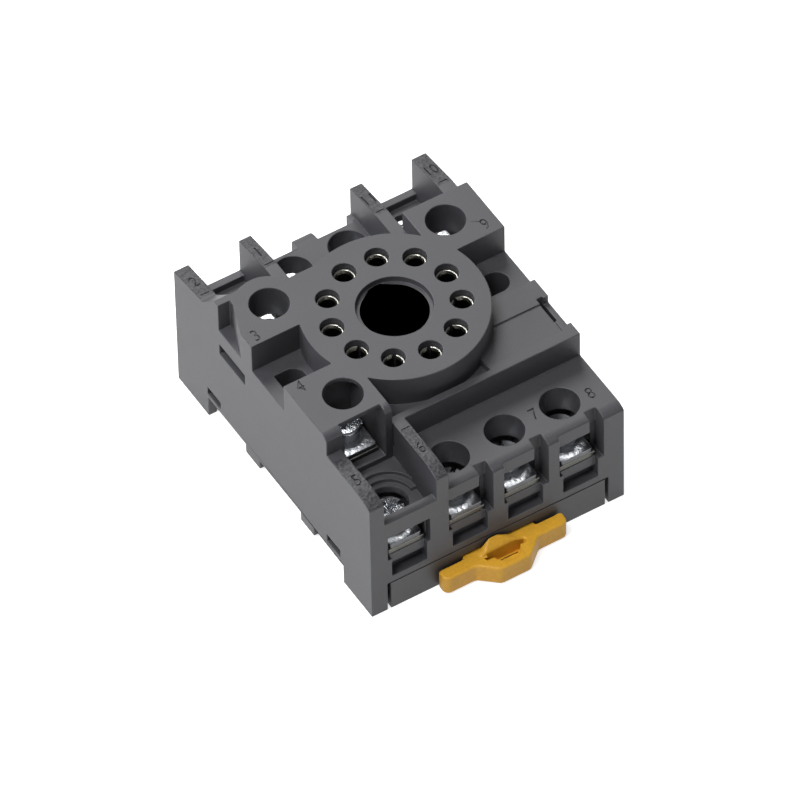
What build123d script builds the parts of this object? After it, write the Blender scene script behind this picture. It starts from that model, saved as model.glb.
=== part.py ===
"""Eleven-pin plug-in relay socket with screw terminals on two levels and a sliding rail clip.

Millimetres. X runs along the clip face, Y runs from the clip face to the far face, Z is up from
the plane that the socket rests on. Sizes in Y are measured from the relay axis. The exported
pieces are all moved along Y at the end, so that the origin is at the middle of the outline.
"""

from build123d import *
import math
import os

# Moulded body
BODY_HALF_WIDTH = 25.0
NEAR_FACE_Y = -32.3
FAR_FACE_Y = 30.5
TOP_Z = 32.6
MIDDLE_Z = 28.2
NEAR_DECK_Z = 22.7
FAR_DECK_Z = 21.6
POCKET_FLOOR_Z = 26.4
SIDE_WALL = 2.9

# Rounded lead at the ends of the walls and decks
WALL_LEAD_LENGTH = 4.8
WALL_LEAD_DROP = 1.1
DECK_LEAD_LENGTH = 2.2
DECK_LEAD_DROP = 0.7

# Ring that the relay plugs into
RING_RADIUS = 16.35
PIN_COUNT = 11
PIN_CIRCLE_RADIUS = 11.4
PIN_BORE_RADIUS = 2.05
GUIDE_RIM_RADIUS = 6.6
GUIDE_RIM_DEPTH = 1.2
GUIDE_BORE_RADIUS = 5.75
GUIDE_FLOOR_Z = 14.0
KEYWAY_WIDTH = 2.2
KEYWAY_REACH = 6.4
RECESS_FLOOR_Z = 26.4

# Terminal blocks on the upper level
BLOCK_WIDTH = 12.9
BLOCK_NEAR_Y = -17.1
BLOCK_FAR_Y = 17.2
BLOCK_CORNER_Y = 15.0
BOSS_RADIUS = 6.2
BLOCK_POST_WIDTH = 3.4
BLOCK_POST_REACH = 1.7
BLOCK_INNER_POST = 1.5
POST_LEAD_DROP = 1.0
BLOCK_SKIN = 1.0
POCKET_HALF_LENGTH = 5.1
POCKET_REACH = 9.8

# Walls between the terminal bays
BAY_WALL = 2.4
NEAR_WALL_X = -10.75
FAR_WALL_X = 11.0
FAR_WALL_TOP_Z = 28.6
FAR_WALL_TIP_Z = 27.4
FAR_WALL_BREAK_Y = 21.9
FAR_WALL_RAMP = 4.0
CROSS_WALL = 1.4
CROSS_WALL_Y = -18.6

# Terminals: columns, rows and heights
OUTER_COLUMN_X = 17.4
BAY_PITCH = 10.9
TERMINAL_INSET = 6.5
UPPER_ROW_Y = 11.8
TIER_STEP = 8.6
ACCESS_RADIUS = 3.45
SEAT_Z = 12.6
CAVITY_HALF_WIDTH = 3.9
CAVITY_REAR = 4.1
CAVITY_TOP_Z = 17.2

# Terminal windows in the faces
WINDOW_TOP_Z = 19.4
BAY_LEFT = 4.1
BAY_RIGHT = 4.6
FAR_BAY_HALF_WIDTH = 3.5
FAR_PANEL_SETBACK = 2.3
PANEL_SETBACK = 0.7
NOTCH_WIDTH = 2.3
NOTCH_DEPTH = 2.6
SILL_TOP_Z = 11.6
SILL_BOTTOM_Z = 8.2
SILL_HALF_WIDTH = 3.4
SILL_SETBACK = 1.0
SILL_BAR = 1.3

# Deep channel over terminal 5, which leads the wire of terminal 4 out
CHANNEL_FLOOR_Z = 18.6
CHANNEL_FLOOR = 1.6
CHANNEL_PANEL = 1.5
CHANNEL_PANEL_TOP_Z = 22.4
FAR_PANEL_TOP_Z = 20.0
CHANNEL_STEP = 0.7
CHANNEL_STEP_RADII = (4.4, 5.5)

# Stamped contacts
STRIP = 1.0
PLATE_WIDTH = 7.0
PLATE_FRONT = 5.4
PLATE_REAR = 3.7
LINK_WIDTH = 3.0
RECEPTACLE_RADIUS = 1.95
RECEPTACLE_BORE = 1.3
RECEPTACLE_MOUTH = 1.65
RECEPTACLE_LEAD = 0.8
RECEPTACLE_TOP_Z = 31.3
RECEPTACLE_BOTTOM_Z = 19.0
RECEPTACLE_SLIT = 0.5
RISER_INSET = 0.6
SLOT_CLEARANCE = 0.3

# Screws and clamp plates, M3.5
SCREW_RADIUS = 1.75
SCREW_LENGTH = 7.5
THREAD_CLEARANCE = 0.05
CLAMP_BORE_CLEARANCE = 0.08
HEAD_RADIUS = 3.1
HEAD_HEIGHT = 2.3
HEAD_CROWN = 0.5
RECESS_SPAN = 3.6
RECESS_SLOT = 0.8
RECESS_DEPTH = 1.3
SCREW_TIP = 0.5
TAIL_CLEARANCE = 0.45
CLAMP_WIDTH = 6.4
CLAMP_FRONT = 5.3
CLAMP_REAR = 3.2
CLAMP_THICKNESS = 1.0
CLAMP_CORNER = 0.6
SCREW_TWIST = 37.0

# Underside and the 35 mm rail
RAIL_WIDTH = 35.0
RAIL_THICKNESS = 1.0
RAIL_SEAT_Z = 4.6
RAIL_PLAY = 0.2
BASE_TOP_Z = 6.2
NEAR_FOOT_END_Y = -23.2
FAR_FOOT_START_Y = 20.4
BASE_CLEARANCE = 0.15
SHELL_WALL = 1.7
RAIL_FEET_Y = ((-12.3, -8.0), (5.2, 9.8))
RAIL_FOOT_INNER_X = 14.0
RAIL_FOOT_INSET = 0.9
RAIL_FOOT_BOTTOM_Z = 0.5
HOOK_THICKNESS = 1.0
HOOK_OVERLAP = 1.0
HOOK_HALF_WIDTH = 12.0
FLAP_HALF_WIDTH = 21.2
FLAP_HEIGHT = 6.5
FLAP_SLIT = 0.6
LATCH_Y = (-20.2, 18.4)
LATCH_LENGTH = 4.2
LATCH_HEIGHT = 1.7
LATCH_BOTTOM_Z = 5.6
LATCH_CLEARANCE = 0.2
LATCH_ARM = 1.0
LATCH_REACH = 1.2

# Fixing holes through the pockets
FIXING_SPACING = 40.0
FIXING_RADIUS = 2.25
FIXING_SLOT_REACH = 2.4
FIXING_SLOT_DEPTH = 4.0

# Side openings: a tapered notch beside terminal 3, and vents beside terminals 3 and 9
WEDGE_WIDTH = 2.3
WEDGE_START_Y = 8.7
WEDGE_END_Y = 15.9
WEDGE_FLAT = 1.0
VENT_START_Y = 7.7
VENT_BOTTOM_Z = 20.4
VENT_HEIGHT = 2.4

# Label plateau on the right, with the slot of a retaining clip
LABEL_RECESS = 0.3
LABEL_NEAR_Y = -16.4
LABEL_FAR_Y = -9.4
PLATEAU_FAR_Y = -4.2
RETAINER_INSET = 1.6
RETAINER_WIDTH = 1.1
RETAINER_START_Y = -14.0
RETAINER_END_Y = -8.2
RETAINER_DEPTH = 8.0
RIM_NOTCH_Z = 26.6

# Rail clip and its spring
CLIP_HALF_WIDTH = 7.0
CLIP_BOTTOM_Z = 0.2
CLIP_TOP_Z = 4.2
CLIP_GAP = 0.3
CLIP_TAB_HALF_WIDTH = 12.2
CLIP_WING_REACH = 2.8
CLIP_BULGE_REACH = 5.7
CLIP_BULGE_HALF_WIDTH = 2.9
CLIP_BULGE_ROOT = 6.2
CLIP_END_RADIUS = 1.2
CLIP_BACK_RADIUS = 0.6
CLIP_BEND_RADIUS = 1.5
CLIP_BOSS_LEFT_X = -4.5
CLIP_BOSS_RIGHT_X = 3.4
CLIP_BOSS_LEFT_SLOPE = 2.3
CLIP_BOSS_RIGHT_SLOPE = 4.0
CLIP_BOSS_TOP_Z = 6.5
CLIP_BOSS_FRONT_Z = 4.9
CLIP_BOSS = 1.5
CLIP_FACE_GAP = 0.3
CLIP_SLOT_Y = -34.5
CLIP_SLOT_LENGTH = 7.9
CLIP_SLOT_WIDTH = 0.8
CLIP_SLOT_DEPTH = 2.6
CLIP_SCOOP_RADIUS = 2.5
CLIP_SCOOP_DEPTH = 1.5
CLIP_RUNNER = 1.2
CLIP_RUNNER_Z = 1.6
CLIP_RUNNER_HEIGHT = 1.2
CLIP_RUNNER_START_Y = -28.6
CLIP_SHOULDER_GAP = 0.5
SPRING_RADIUS = 1.5
SPRING_WIRE = 0.25
SPRING_TURNS = 7
SPRING_LENGTH = 8.0
SPRING_WINDOW = 2.0
SPRING_FIXED_Y = -28.6
LUG_LENGTH = 1.6

# Shared allowances
CUT_OVERRUN = 1.0
FAR_DECK_START_Y = 12.0
RECESS_END_X = 8.0
WINDOW_DEPTH = 3.2
LINTEL_LAP = 0.4
SILL_GROOVE = 2.0
VENT_DEPTH = 2.0
RIM_STEP = 0.8
CHANNEL_TERMINALS = (2, 5, 10)
OPEN_TERMINAL = 4
BOSS_TERMINAL = 3

# Each terminal: column, row and level
NEAR_ROW_Y = NEAR_FACE_Y + TERMINAL_INSET
FAR_ROW_Y = FAR_FACE_Y - TERMINAL_INSET
INNER_COLUMN_X = BAY_PITCH / 2
TERMINALS = {
    1: (-INNER_COLUMN_X, FAR_ROW_Y, 0),
    2: (-OUTER_COLUMN_X, FAR_ROW_Y, 0),
    3: (-OUTER_COLUMN_X, UPPER_ROW_Y, 1),
    4: (-OUTER_COLUMN_X, -UPPER_ROW_Y, 1),
    5: (-OUTER_COLUMN_X, NEAR_ROW_Y, 0),
    6: (-INNER_COLUMN_X, NEAR_ROW_Y, 0),
    7: (INNER_COLUMN_X, NEAR_ROW_Y, 0),
    8: (INNER_COLUMN_X + BAY_PITCH, NEAR_ROW_Y, 0),
    9: (OUTER_COLUMN_X, UPPER_ROW_Y, 1),
    10: (OUTER_COLUMN_X, FAR_ROW_Y, 0),
    11: (INNER_COLUMN_X, FAR_ROW_Y, 0),
}
# Pin 6 sits nearest the clip, and the numbers run anticlockwise seen from above
PIN_STEP = 360 / PIN_COUNT
FRONT_PIN = 6


def block(x0, x1, y0, y1, z0, z1):
    """A rectangular solid between two corners."""
    return Pos((x0 + x1) / 2, (y0 + y1) / 2, (z0 + z1) / 2) * Box(x1 - x0, y1 - y0, z1 - z0)


def post(x, y, radius, z0, z1):
    """An upright round solid."""
    return Pos(x, y, (z0 + z1) / 2) * Cylinder(radius, z1 - z0)


def side_slab(outline, x0, x1):
    """A slab between two X planes, from an outline drawn in Y and Z."""
    return extrude(Plane.YZ.offset(x0) * make_face(outline), amount=x1 - x0)


def outward(terminal):
    """Which way a terminal's wire leaves: -1 towards the clip face, 1 towards the far face."""
    return math.copysign(1, TERMINALS[terminal][1])


def level(terminal):
    """How far a terminal's parts stand above the lower level."""
    return TERMINALS[terminal][2] * TIER_STEP


def face_y(terminal):
    """The outer face that a terminal's window opens in."""
    if terminal == BOSS_TERMINAL:
        return UPPER_ROW_Y + BOSS_RADIUS
    if TERMINALS[terminal][2]:
        return BLOCK_NEAR_Y if outward(terminal) < 0 else BLOCK_FAR_Y
    return NEAR_FACE_Y if outward(terminal) < 0 else FAR_FACE_Y


def cell(terminal, x0, x1, outer, inner, z0, z1):
    """A block at a terminal. Outer is measured inwards from its face, inner from its axis."""
    x, y, _ = TERMINALS[terminal]
    way = outward(terminal)
    rise = level(terminal)
    ends = sorted((face_y(terminal) - way * outer, y - way * inner))
    return block(x + x0, x + x1, ends[0], ends[1], z0 + rise, z1 + rise)


def face_cut(terminal, x0, x1, depth, z0, z1):
    """A block that is cut into a terminal's face, to a depth."""
    x = TERMINALS[terminal][0]
    way = outward(terminal)
    rise = level(terminal)
    ends = sorted((face_y(terminal) + way * CUT_OVERRUN, face_y(terminal) - way * depth))
    return block(x + x0, x + x1, ends[0], ends[1], z0 + rise, z1 + rise)


def pin_place(number):
    """The plan position of one pin."""
    angle = math.radians(-90 + PIN_STEP * (number - FRONT_PIN))
    return PIN_CIRCLE_RADIUS * math.cos(angle), PIN_CIRCLE_RADIUS * math.sin(angle)


def link_bar(number, width, z0, z1):
    """A straight bar from a terminal's axis to its pin."""
    x, y, _ = TERMINALS[number]
    pin_x, pin_y = pin_place(number)
    length = math.hypot(pin_x - x, pin_y - y)
    turn = math.degrees(math.atan2(pin_y - y, pin_x - x))
    bar = Pos(length / 2, 0, (z0 + z1) / 2) * Box(length, width, z1 - z0)
    return Pos(x, y, 0) * Rot(0, 0, turn) * bar


def lead(y_face, z_face, y_flat, z_flat):
    """The rounded lead from the flat top of a wall down to its end face."""
    way = math.copysign(1, y_face - y_flat)
    return TangentArc((y_flat, z_flat), (y_face, z_face), tangent=(way, 0))


def trunk():
    """The body between the outer walls: two decks, the middle level and the cross wall."""
    near_lead = NEAR_FACE_Y + DECK_LEAD_LENGTH
    far_lead = FAR_FACE_Y - DECK_LEAD_LENGTH
    near_edge = NEAR_DECK_Z - DECK_LEAD_DROP
    far_edge = FAR_DECK_Z - DECK_LEAD_DROP
    return side_slab(
        [
            Polyline((far_lead, FAR_DECK_Z), (FAR_DECK_START_Y, FAR_DECK_Z), (FAR_DECK_START_Y, MIDDLE_Z),
                     (CROSS_WALL_Y, MIDDLE_Z), (CROSS_WALL_Y, NEAR_DECK_Z), (near_lead, NEAR_DECK_Z)),
            lead(NEAR_FACE_Y, near_edge, near_lead, NEAR_DECK_Z),
            Polyline((NEAR_FACE_Y, near_edge), (NEAR_FACE_Y, 0), (FAR_FACE_Y, 0), (FAR_FACE_Y, far_edge)),
            lead(FAR_FACE_Y, far_edge, far_lead, FAR_DECK_Z),
        ],
        -BODY_HALF_WIDTH,
        BODY_HALF_WIDTH,
    )


def near_wall(x0, x1):
    """A wall beside a near bay, level with the cross wall and rounded down at its end."""
    flat = NEAR_FACE_Y + WALL_LEAD_LENGTH
    edge = MIDDLE_Z - WALL_LEAD_DROP
    inner = CROSS_WALL_Y + CROSS_WALL
    return side_slab(
        [
            Polyline((flat, MIDDLE_Z), (inner, MIDDLE_Z), (inner, 0), (NEAR_FACE_Y, 0), (NEAR_FACE_Y, edge)),
            lead(NEAR_FACE_Y, edge, flat, MIDDLE_Z),
        ],
        x0,
        x1,
    )


def far_wall(x0, x1, start):
    """A wall beside a far bay. Its top is level, then slopes down a little to the far face."""
    outline = Polyline((start, 0), (FAR_FACE_Y, 0), (FAR_FACE_Y, FAR_WALL_TIP_Z),
                       (FAR_WALL_BREAK_Y, FAR_WALL_TOP_Z), (start, FAR_WALL_TOP_Z), close=True)
    return side_slab(outline, x0, x1)


def left_corner():
    """The ramp from the left far wall up to block 3, and the fill between that block and the ring."""
    ramp = Polyline((BLOCK_FAR_Y, FAR_WALL_TOP_Z), (BLOCK_FAR_Y + FAR_WALL_RAMP, FAR_WALL_TOP_Z),
                    (BLOCK_FAR_Y, TOP_Z), close=True)
    solid = side_slab(ramp, -BODY_HALF_WIDTH, -BODY_HALF_WIDTH + SIDE_WALL)
    inner = -BODY_HALF_WIDTH + BLOCK_WIDTH
    solid += block(inner, -INNER_COLUMN_X, POCKET_HALF_LENGTH, BLOCK_CORNER_Y, 0, TOP_Z)
    return solid


def upper_block(x_sign, face):
    """One of the three tall blocks that carry an upper terminal, out to its face."""
    ends = sorted((math.copysign(POCKET_HALF_LENGTH, face), face))
    xs = sorted((x_sign * BODY_HALF_WIDTH, x_sign * (BODY_HALF_WIDTH - BLOCK_WIDTH)))
    return block(xs[0], xs[1], ends[0], ends[1], 0, TOP_Z)


def window_post(x0, x1):
    """A post beside the open window, rounded down at its end."""
    end = BLOCK_NEAR_Y - BLOCK_POST_REACH
    edge = TOP_Z - POST_LEAD_DROP
    return side_slab(
        [
            Polyline((BLOCK_NEAR_Y, TOP_Z), (BLOCK_NEAR_Y, 0), (end, 0), (end, edge)),
            lead(end, edge, BLOCK_NEAR_Y, TOP_Z),
        ],
        x0,
        x1,
    )


def channel(terminal, x0, x1):
    """The deep channel over a lower terminal, with stepped rings round its screw hole."""
    x, y, _ = TERMINALS[terminal]
    way = outward(terminal)
    face = NEAR_FACE_Y if way < 0 else FAR_FACE_Y
    back = BLOCK_NEAR_Y - BLOCK_POST_REACH if way < 0 else BLOCK_FAR_Y
    ends = sorted((face - way * CHANNEL_PANEL, back))
    top = TOP_Z + CUT_OVERRUN
    floor = CHANNEL_FLOOR_Z + CHANNEL_STEP * len(CHANNEL_STEP_RADII)
    cut = block(x0, x1, ends[0], ends[1], floor, top)
    within = block(x0, x1, ends[0], ends[1], CHANNEL_FLOOR_Z, floor)
    for count, radius in enumerate(CHANNEL_STEP_RADII):
        cut += post(x, y, radius, CHANNEL_FLOOR_Z + CHANNEL_STEP * count, floor) & within
    ahead = sorted((face - way * CHANNEL_PANEL, y))
    cut += block(x0, x1, ahead[0], ahead[1], CHANNEL_FLOOR_Z, floor)
    panel = sorted((face + way * CUT_OVERRUN, face - way * (CHANNEL_PANEL + CUT_OVERRUN)))
    panel_top = CHANNEL_PANEL_TOP_Z if way < 0 else FAR_PANEL_TOP_Z
    cut += block(x0, x1, panel[0], panel[1], panel_top, top)
    return cut


def window(terminal):
    """The wire opening of a lower terminal in a bay, under its set-back panel."""
    if outward(terminal) > 0:
        half = FAR_BAY_HALF_WIDTH
        return face_cut(terminal, -half, half, FAR_PANEL_SETBACK, SEAT_Z, TOP_Z)
    cut = face_cut(terminal, -BAY_LEFT, BAY_RIGHT, PANEL_SETBACK, SEAT_Z, TOP_Z)
    cut += face_cut(terminal, -BAY_LEFT, BAY_RIGHT, WINDOW_DEPTH, SEAT_Z, WINDOW_TOP_Z)
    cut += face_cut(terminal, BAY_RIGHT - NOTCH_WIDTH, BAY_RIGHT, NOTCH_DEPTH, SEAT_Z, TOP_Z)
    return cut


def well(terminal):
    """The screw hole, clamp cavity, window and screw tail hole of one terminal."""
    x, y, _ = TERMINALS[terminal]
    rise = level(terminal)
    cut = post(x, y, ACCESS_RADIUS, SEAT_Z + rise, TOP_Z + CUT_OVERRUN)
    tail_bottom = SEAT_Z + rise - SCREW_LENGTH if rise else BASE_TOP_Z - CUT_OVERRUN
    cut += post(x, y, SCREW_RADIUS + TAIL_CLEARANCE, tail_bottom, SEAT_Z + rise)
    ceiling = CAVITY_TOP_Z
    if terminal == OPEN_TERMINAL:
        ceiling = TOP_Z - BLOCK_SKIN - rise
        cut += block(x - CAVITY_HALF_WIDTH, x + CAVITY_HALF_WIDTH, CROSS_WALL_Y - CUT_OVERRUN,
                     BLOCK_NEAR_Y, SEAT_Z + rise, TOP_Z + CUT_OVERRUN)
    elif terminal in CHANNEL_TERMINALS:
        ceiling = CHANNEL_FLOOR_Z - CHANNEL_FLOOR
        cut += face_cut(terminal, -BAY_LEFT, BAY_LEFT, CHANNEL_PANEL, SEAT_Z, CHANNEL_FLOOR_Z - LINTEL_LAP)
    elif not rise:
        cut += window(terminal)
    cut += cell(terminal, -CAVITY_HALF_WIDTH, CAVITY_HALF_WIDTH, -CUT_OVERRUN, CAVITY_REAR, SEAT_Z, ceiling)
    if rise:
        return cut
    cut += face_cut(terminal, -SILL_HALF_WIDTH, SILL_HALF_WIDTH, SILL_SETBACK, SILL_BOTTOM_Z, SEAT_Z)
    groove_top = SILL_TOP_Z - SILL_BAR
    cut += face_cut(terminal, -SILL_HALF_WIDTH, SILL_HALF_WIDTH, SILL_GROOVE, SILL_BOTTOM_Z, groove_top)
    return cut


def contact_way(number):
    """The pin bore and the slot that a contact is pushed up through, open to the base."""
    pin_x, pin_y = pin_place(number)
    rise = level(number)
    bottom = BASE_TOP_Z - CUT_OVERRUN
    cut = post(pin_x, pin_y, PIN_BORE_RADIUS, bottom, TOP_Z + CUT_OVERRUN)
    cut += link_bar(number, LINK_WIDTH + 2 * SLOT_CLEARANCE, bottom, SEAT_Z + rise + STRIP)
    return cut


def pockets():
    """The two pockets over the fixing holes, and the holes with their slotted mouths."""
    top = TOP_Z + CUT_OVERRUN
    side = BODY_HALF_WIDTH + CUT_OVERRUN
    cut = block(-side, -BODY_HALF_WIDTH + POCKET_REACH, -POCKET_HALF_LENGTH, POCKET_HALF_LENGTH,
                POCKET_FLOOR_Z, top)
    cut += block(BODY_HALF_WIDTH - BLOCK_WIDTH, side, PLATEAU_FAR_Y, POCKET_HALF_LENGTH, POCKET_FLOOR_Z, top)
    cut -= post(0, 0, RING_RADIUS, 0, top)
    for x in (-FIXING_SPACING / 2, FIXING_SPACING / 2):
        cut += post(x, 0, FIXING_RADIUS, -CUT_OVERRUN, top)
        cut += block(x - FIXING_SLOT_REACH, x, -FIXING_RADIUS, FIXING_RADIUS,
                     POCKET_FLOOR_Z - FIXING_SLOT_DEPTH, top)
    return cut


def ring_cuts():
    """The stepped guide hole for the relay's spigot, with its keyway."""
    top = TOP_Z + CUT_OVERRUN
    cut = post(0, 0, GUIDE_RIM_RADIUS, TOP_Z - GUIDE_RIM_DEPTH, top)
    cut += post(0, 0, GUIDE_BORE_RADIUS, GUIDE_FLOOR_Z, top)
    cut += block(-KEYWAY_WIDTH / 2, KEYWAY_WIDTH / 2, 0, KEYWAY_REACH, GUIDE_FLOOR_Z, top)
    return cut


def front_recess():
    """The hollow between the ring and the cross wall."""
    near = CROSS_WALL_Y + CROSS_WALL
    left = -BODY_HALF_WIDTH + BLOCK_WIDTH
    return block(left, RECESS_END_X, near, 0, RECESS_FLOOR_Z, TOP_Z) - post(0, 0, RING_RADIUS, 0, TOP_Z)


def side_openings():
    """The tapered notch beside terminal 3 and the vents beside terminals 3 and 9."""
    deep = BODY_HALF_WIDTH - WEDGE_WIDTH
    side = BODY_HALF_WIDTH + CUT_OVERRUN
    outline = Polyline((-side, WEDGE_START_Y), (-BODY_HALF_WIDTH, WEDGE_START_Y),
                       (-deep, WEDGE_END_Y - WEDGE_FLAT), (-deep, WEDGE_END_Y),
                       (-side, WEDGE_END_Y), close=True)
    cut = Pos(0, 0, POCKET_FLOOR_Z) * extrude(make_face(outline), amount=TOP_Z)
    for way in (-1, 1):
        xs = sorted((way * (BODY_HALF_WIDTH - VENT_DEPTH), way * side))
        cut += block(xs[0], xs[1], VENT_START_Y, WEDGE_END_Y, VENT_BOTTOM_Z, VENT_BOTTOM_Z + VENT_HEIGHT)
    return cut


def label_plateau():
    """The bare label field, the slot of a retaining clip and the low rim beside it."""
    outer = BODY_HALF_WIDTH - RETAINER_INSET + RETAINER_WIDTH / 2
    inner = outer - RETAINER_WIDTH
    cut = block(0, inner, LABEL_NEAR_Y, LABEL_FAR_Y, MIDDLE_Z - LABEL_RECESS, TOP_Z)
    cut -= post(0, 0, RING_RADIUS, 0, TOP_Z)
    cut += block(inner, outer, RETAINER_START_Y, RETAINER_END_Y, MIDDLE_Z - RETAINER_DEPTH, TOP_Z)
    cut += block(outer, BODY_HALF_WIDTH + CUT_OVERRUN, LABEL_NEAR_Y + RIM_STEP, LABEL_FAR_Y + RIM_STEP,
                 RIM_NOTCH_Z, TOP_Z)
    return cut


def underside():
    """The room for the base plate, the rail gap and the slot of the front flap."""
    inner = BODY_HALF_WIDTH - SHELL_WALL
    cut = block(-inner, inner, NEAR_FACE_Y + SHELL_WALL, FAR_FACE_Y - SHELL_WALL, -CUT_OVERRUN, BASE_TOP_Z)
    slit = FLAP_HALF_WIDTH + FLAP_SLIT
    cut += block(-slit, slit, NEAR_FACE_Y - CUT_OVERRUN, NEAR_FACE_Y + SHELL_WALL + CUT_OVERRUN,
                 -CUT_OVERRUN, FLAP_HEIGHT + BASE_CLEARANCE)
    side = BODY_HALF_WIDTH + CUT_OVERRUN
    cut += block(-side, side, NEAR_FOOT_END_Y, FAR_FOOT_START_Y, -CUT_OVERRUN, RAIL_SEAT_Z)
    root = inner - BASE_CLEARANCE - LATCH_ARM - LATCH_CLEARANCE
    half = LATCH_LENGTH / 2
    for way in (-1, 1):
        xs = sorted((way * root, way * side))
        for y in LATCH_Y:
            cut += block(xs[0], xs[1], y - half, y + half, LATCH_BOTTOM_Z, LATCH_BOTTOM_Z + LATCH_HEIGHT)
    return cut


def housing():
    """The main moulding."""
    near_x = NEAR_WALL_X - BAY_WALL / 2
    far_x = FAR_WALL_X - BAY_WALL / 2
    body = trunk()
    body += near_wall(-BODY_HALF_WIDTH, -BODY_HALF_WIDTH + SIDE_WALL)
    body += near_wall(near_x, near_x + BAY_WALL)
    body += far_wall(-BODY_HALF_WIDTH, -BODY_HALF_WIDTH + SIDE_WALL, POCKET_HALF_LENGTH)
    body += far_wall(BODY_HALF_WIDTH - SIDE_WALL, BODY_HALF_WIDTH, POCKET_HALF_LENGTH)
    body += far_wall(-far_x - BAY_WALL, -far_x, RING_RADIUS / 2)
    body += far_wall(far_x, far_x + BAY_WALL, RING_RADIUS / 2)
    body += upper_block(-1, BLOCK_NEAR_Y)
    body += upper_block(-1, BLOCK_CORNER_Y)
    body += upper_block(1, BLOCK_FAR_Y)
    body += block(-BODY_HALF_WIDTH, -OUTER_COLUMN_X, POCKET_HALF_LENGTH, BLOCK_FAR_Y, 0, TOP_Z)
    body += left_corner()
    body += post(0, 0, RING_RADIUS, NEAR_DECK_Z, TOP_Z)
    inner = -BODY_HALF_WIDTH + BLOCK_WIDTH
    shelf = SEAT_Z + TIER_STEP
    body += block(-BODY_HALF_WIDTH, inner, BLOCK_NEAR_Y - BLOCK_POST_REACH, BLOCK_NEAR_Y, 0, shelf)
    body += window_post(-BODY_HALF_WIDTH, -BODY_HALF_WIDTH + BLOCK_POST_WIDTH)
    body += window_post(inner - BLOCK_INNER_POST, inner)
    wall = -BODY_HALF_WIDTH + SIDE_WALL
    body -= channel(5, wall, near_x)
    body -= channel(2, wall, -far_x - BAY_WALL)
    body -= channel(10, far_x + BAY_WALL, -wall)
    body += post(-OUTER_COLUMN_X, UPPER_ROW_Y, BOSS_RADIUS, CHANNEL_FLOOR_Z, TOP_Z)
    body -= pockets()
    body -= front_recess()
    body -= label_plateau()
    body -= side_openings()
    body -= ring_cuts()
    body -= underside()
    for number in TERMINALS:
        body -= well(number)
        body -= contact_way(number)
    return body


def base_plate():
    """The bottom cover: plate, feet, front flap, clip guide, fixed rail hook and snap lugs."""
    side = BODY_HALF_WIDTH - SHELL_WALL - BASE_CLEARANCE
    near = NEAR_FACE_Y + SHELL_WALL + BASE_CLEARANCE
    far = FAR_FACE_Y - SHELL_WALL - BASE_CLEARANCE
    plate = block(-side, side, near, far, RAIL_SEAT_Z, BASE_TOP_Z)
    plate += block(-side, side, near, NEAR_FOOT_END_Y, 0, RAIL_SEAT_Z)
    plate += block(-side, side, FAR_FOOT_START_Y, far, 0, RAIL_SEAT_Z)
    plate += block(-FLAP_HALF_WIDTH, FLAP_HALF_WIDTH, NEAR_FACE_Y, near, 0, FLAP_HEIGHT)
    hook_top = RAIL_SEAT_Z - RAIL_THICKNESS - RAIL_PLAY
    hook_tip = RAIL_WIDTH / 2 - HOOK_OVERLAP
    plate += block(-HOOK_HALF_WIDTH, HOOK_HALF_WIDTH, hook_tip, FAR_FOOT_START_Y,
                   hook_top - HOOK_THICKNESS, hook_top)
    lug_half = LATCH_LENGTH / 2 - LATCH_CLEARANCE
    lug_bottom = LATCH_BOTTOM_Z + LATCH_CLEARANCE
    lug_top = LATCH_BOTTOM_Z + LATCH_HEIGHT - LATCH_CLEARANCE
    for way in (-1, 1):
        feet = sorted((way * side, way * RAIL_FOOT_INNER_X))
        toes = sorted((way * side, way * (BODY_HALF_WIDTH - RAIL_FOOT_INSET)))
        for y0, y1 in RAIL_FEET_Y:
            plate += block(feet[0], feet[1], y0, y1, RAIL_FOOT_BOTTOM_Z, RAIL_SEAT_Z)
            plate += block(toes[0], toes[1], y0, y1, RAIL_FOOT_BOTTOM_Z, RAIL_SEAT_Z - BASE_CLEARANCE)
        lugs = sorted((way * (side - LATCH_ARM), way * (side + LATCH_REACH)))
        for y in LATCH_Y:
            plate += block(lugs[0], lugs[1], y - lug_half, y + lug_half, lug_bottom, lug_top)
        plate -= post(way * FIXING_SPACING / 2, 0, FIXING_RADIUS, -CUT_OVERRUN, BASE_TOP_Z + CUT_OVERRUN)
    guide = CLIP_HALF_WIDTH + CLIP_GAP
    start = NEAR_FACE_Y - CUT_OVERRUN
    end = NEAR_FOOT_END_Y + CUT_OVERRUN
    plate -= block(-guide, guide, start, end, -CUT_OVERRUN, RAIL_SEAT_Z)
    groove = guide + CLIP_RUNNER
    plate -= block(-groove, groove, start, end, CLIP_RUNNER_Z - CLIP_GAP,
                   CLIP_RUNNER_Z + CLIP_RUNNER_HEIGHT + CLIP_GAP)
    lug = SPRING_WINDOW - CLIP_GAP
    plate += block(-lug, lug, SPRING_FIXED_Y - LUG_LENGTH, SPRING_FIXED_Y, CLIP_BOTTOM_Z, BASE_TOP_Z)
    return plate


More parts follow.
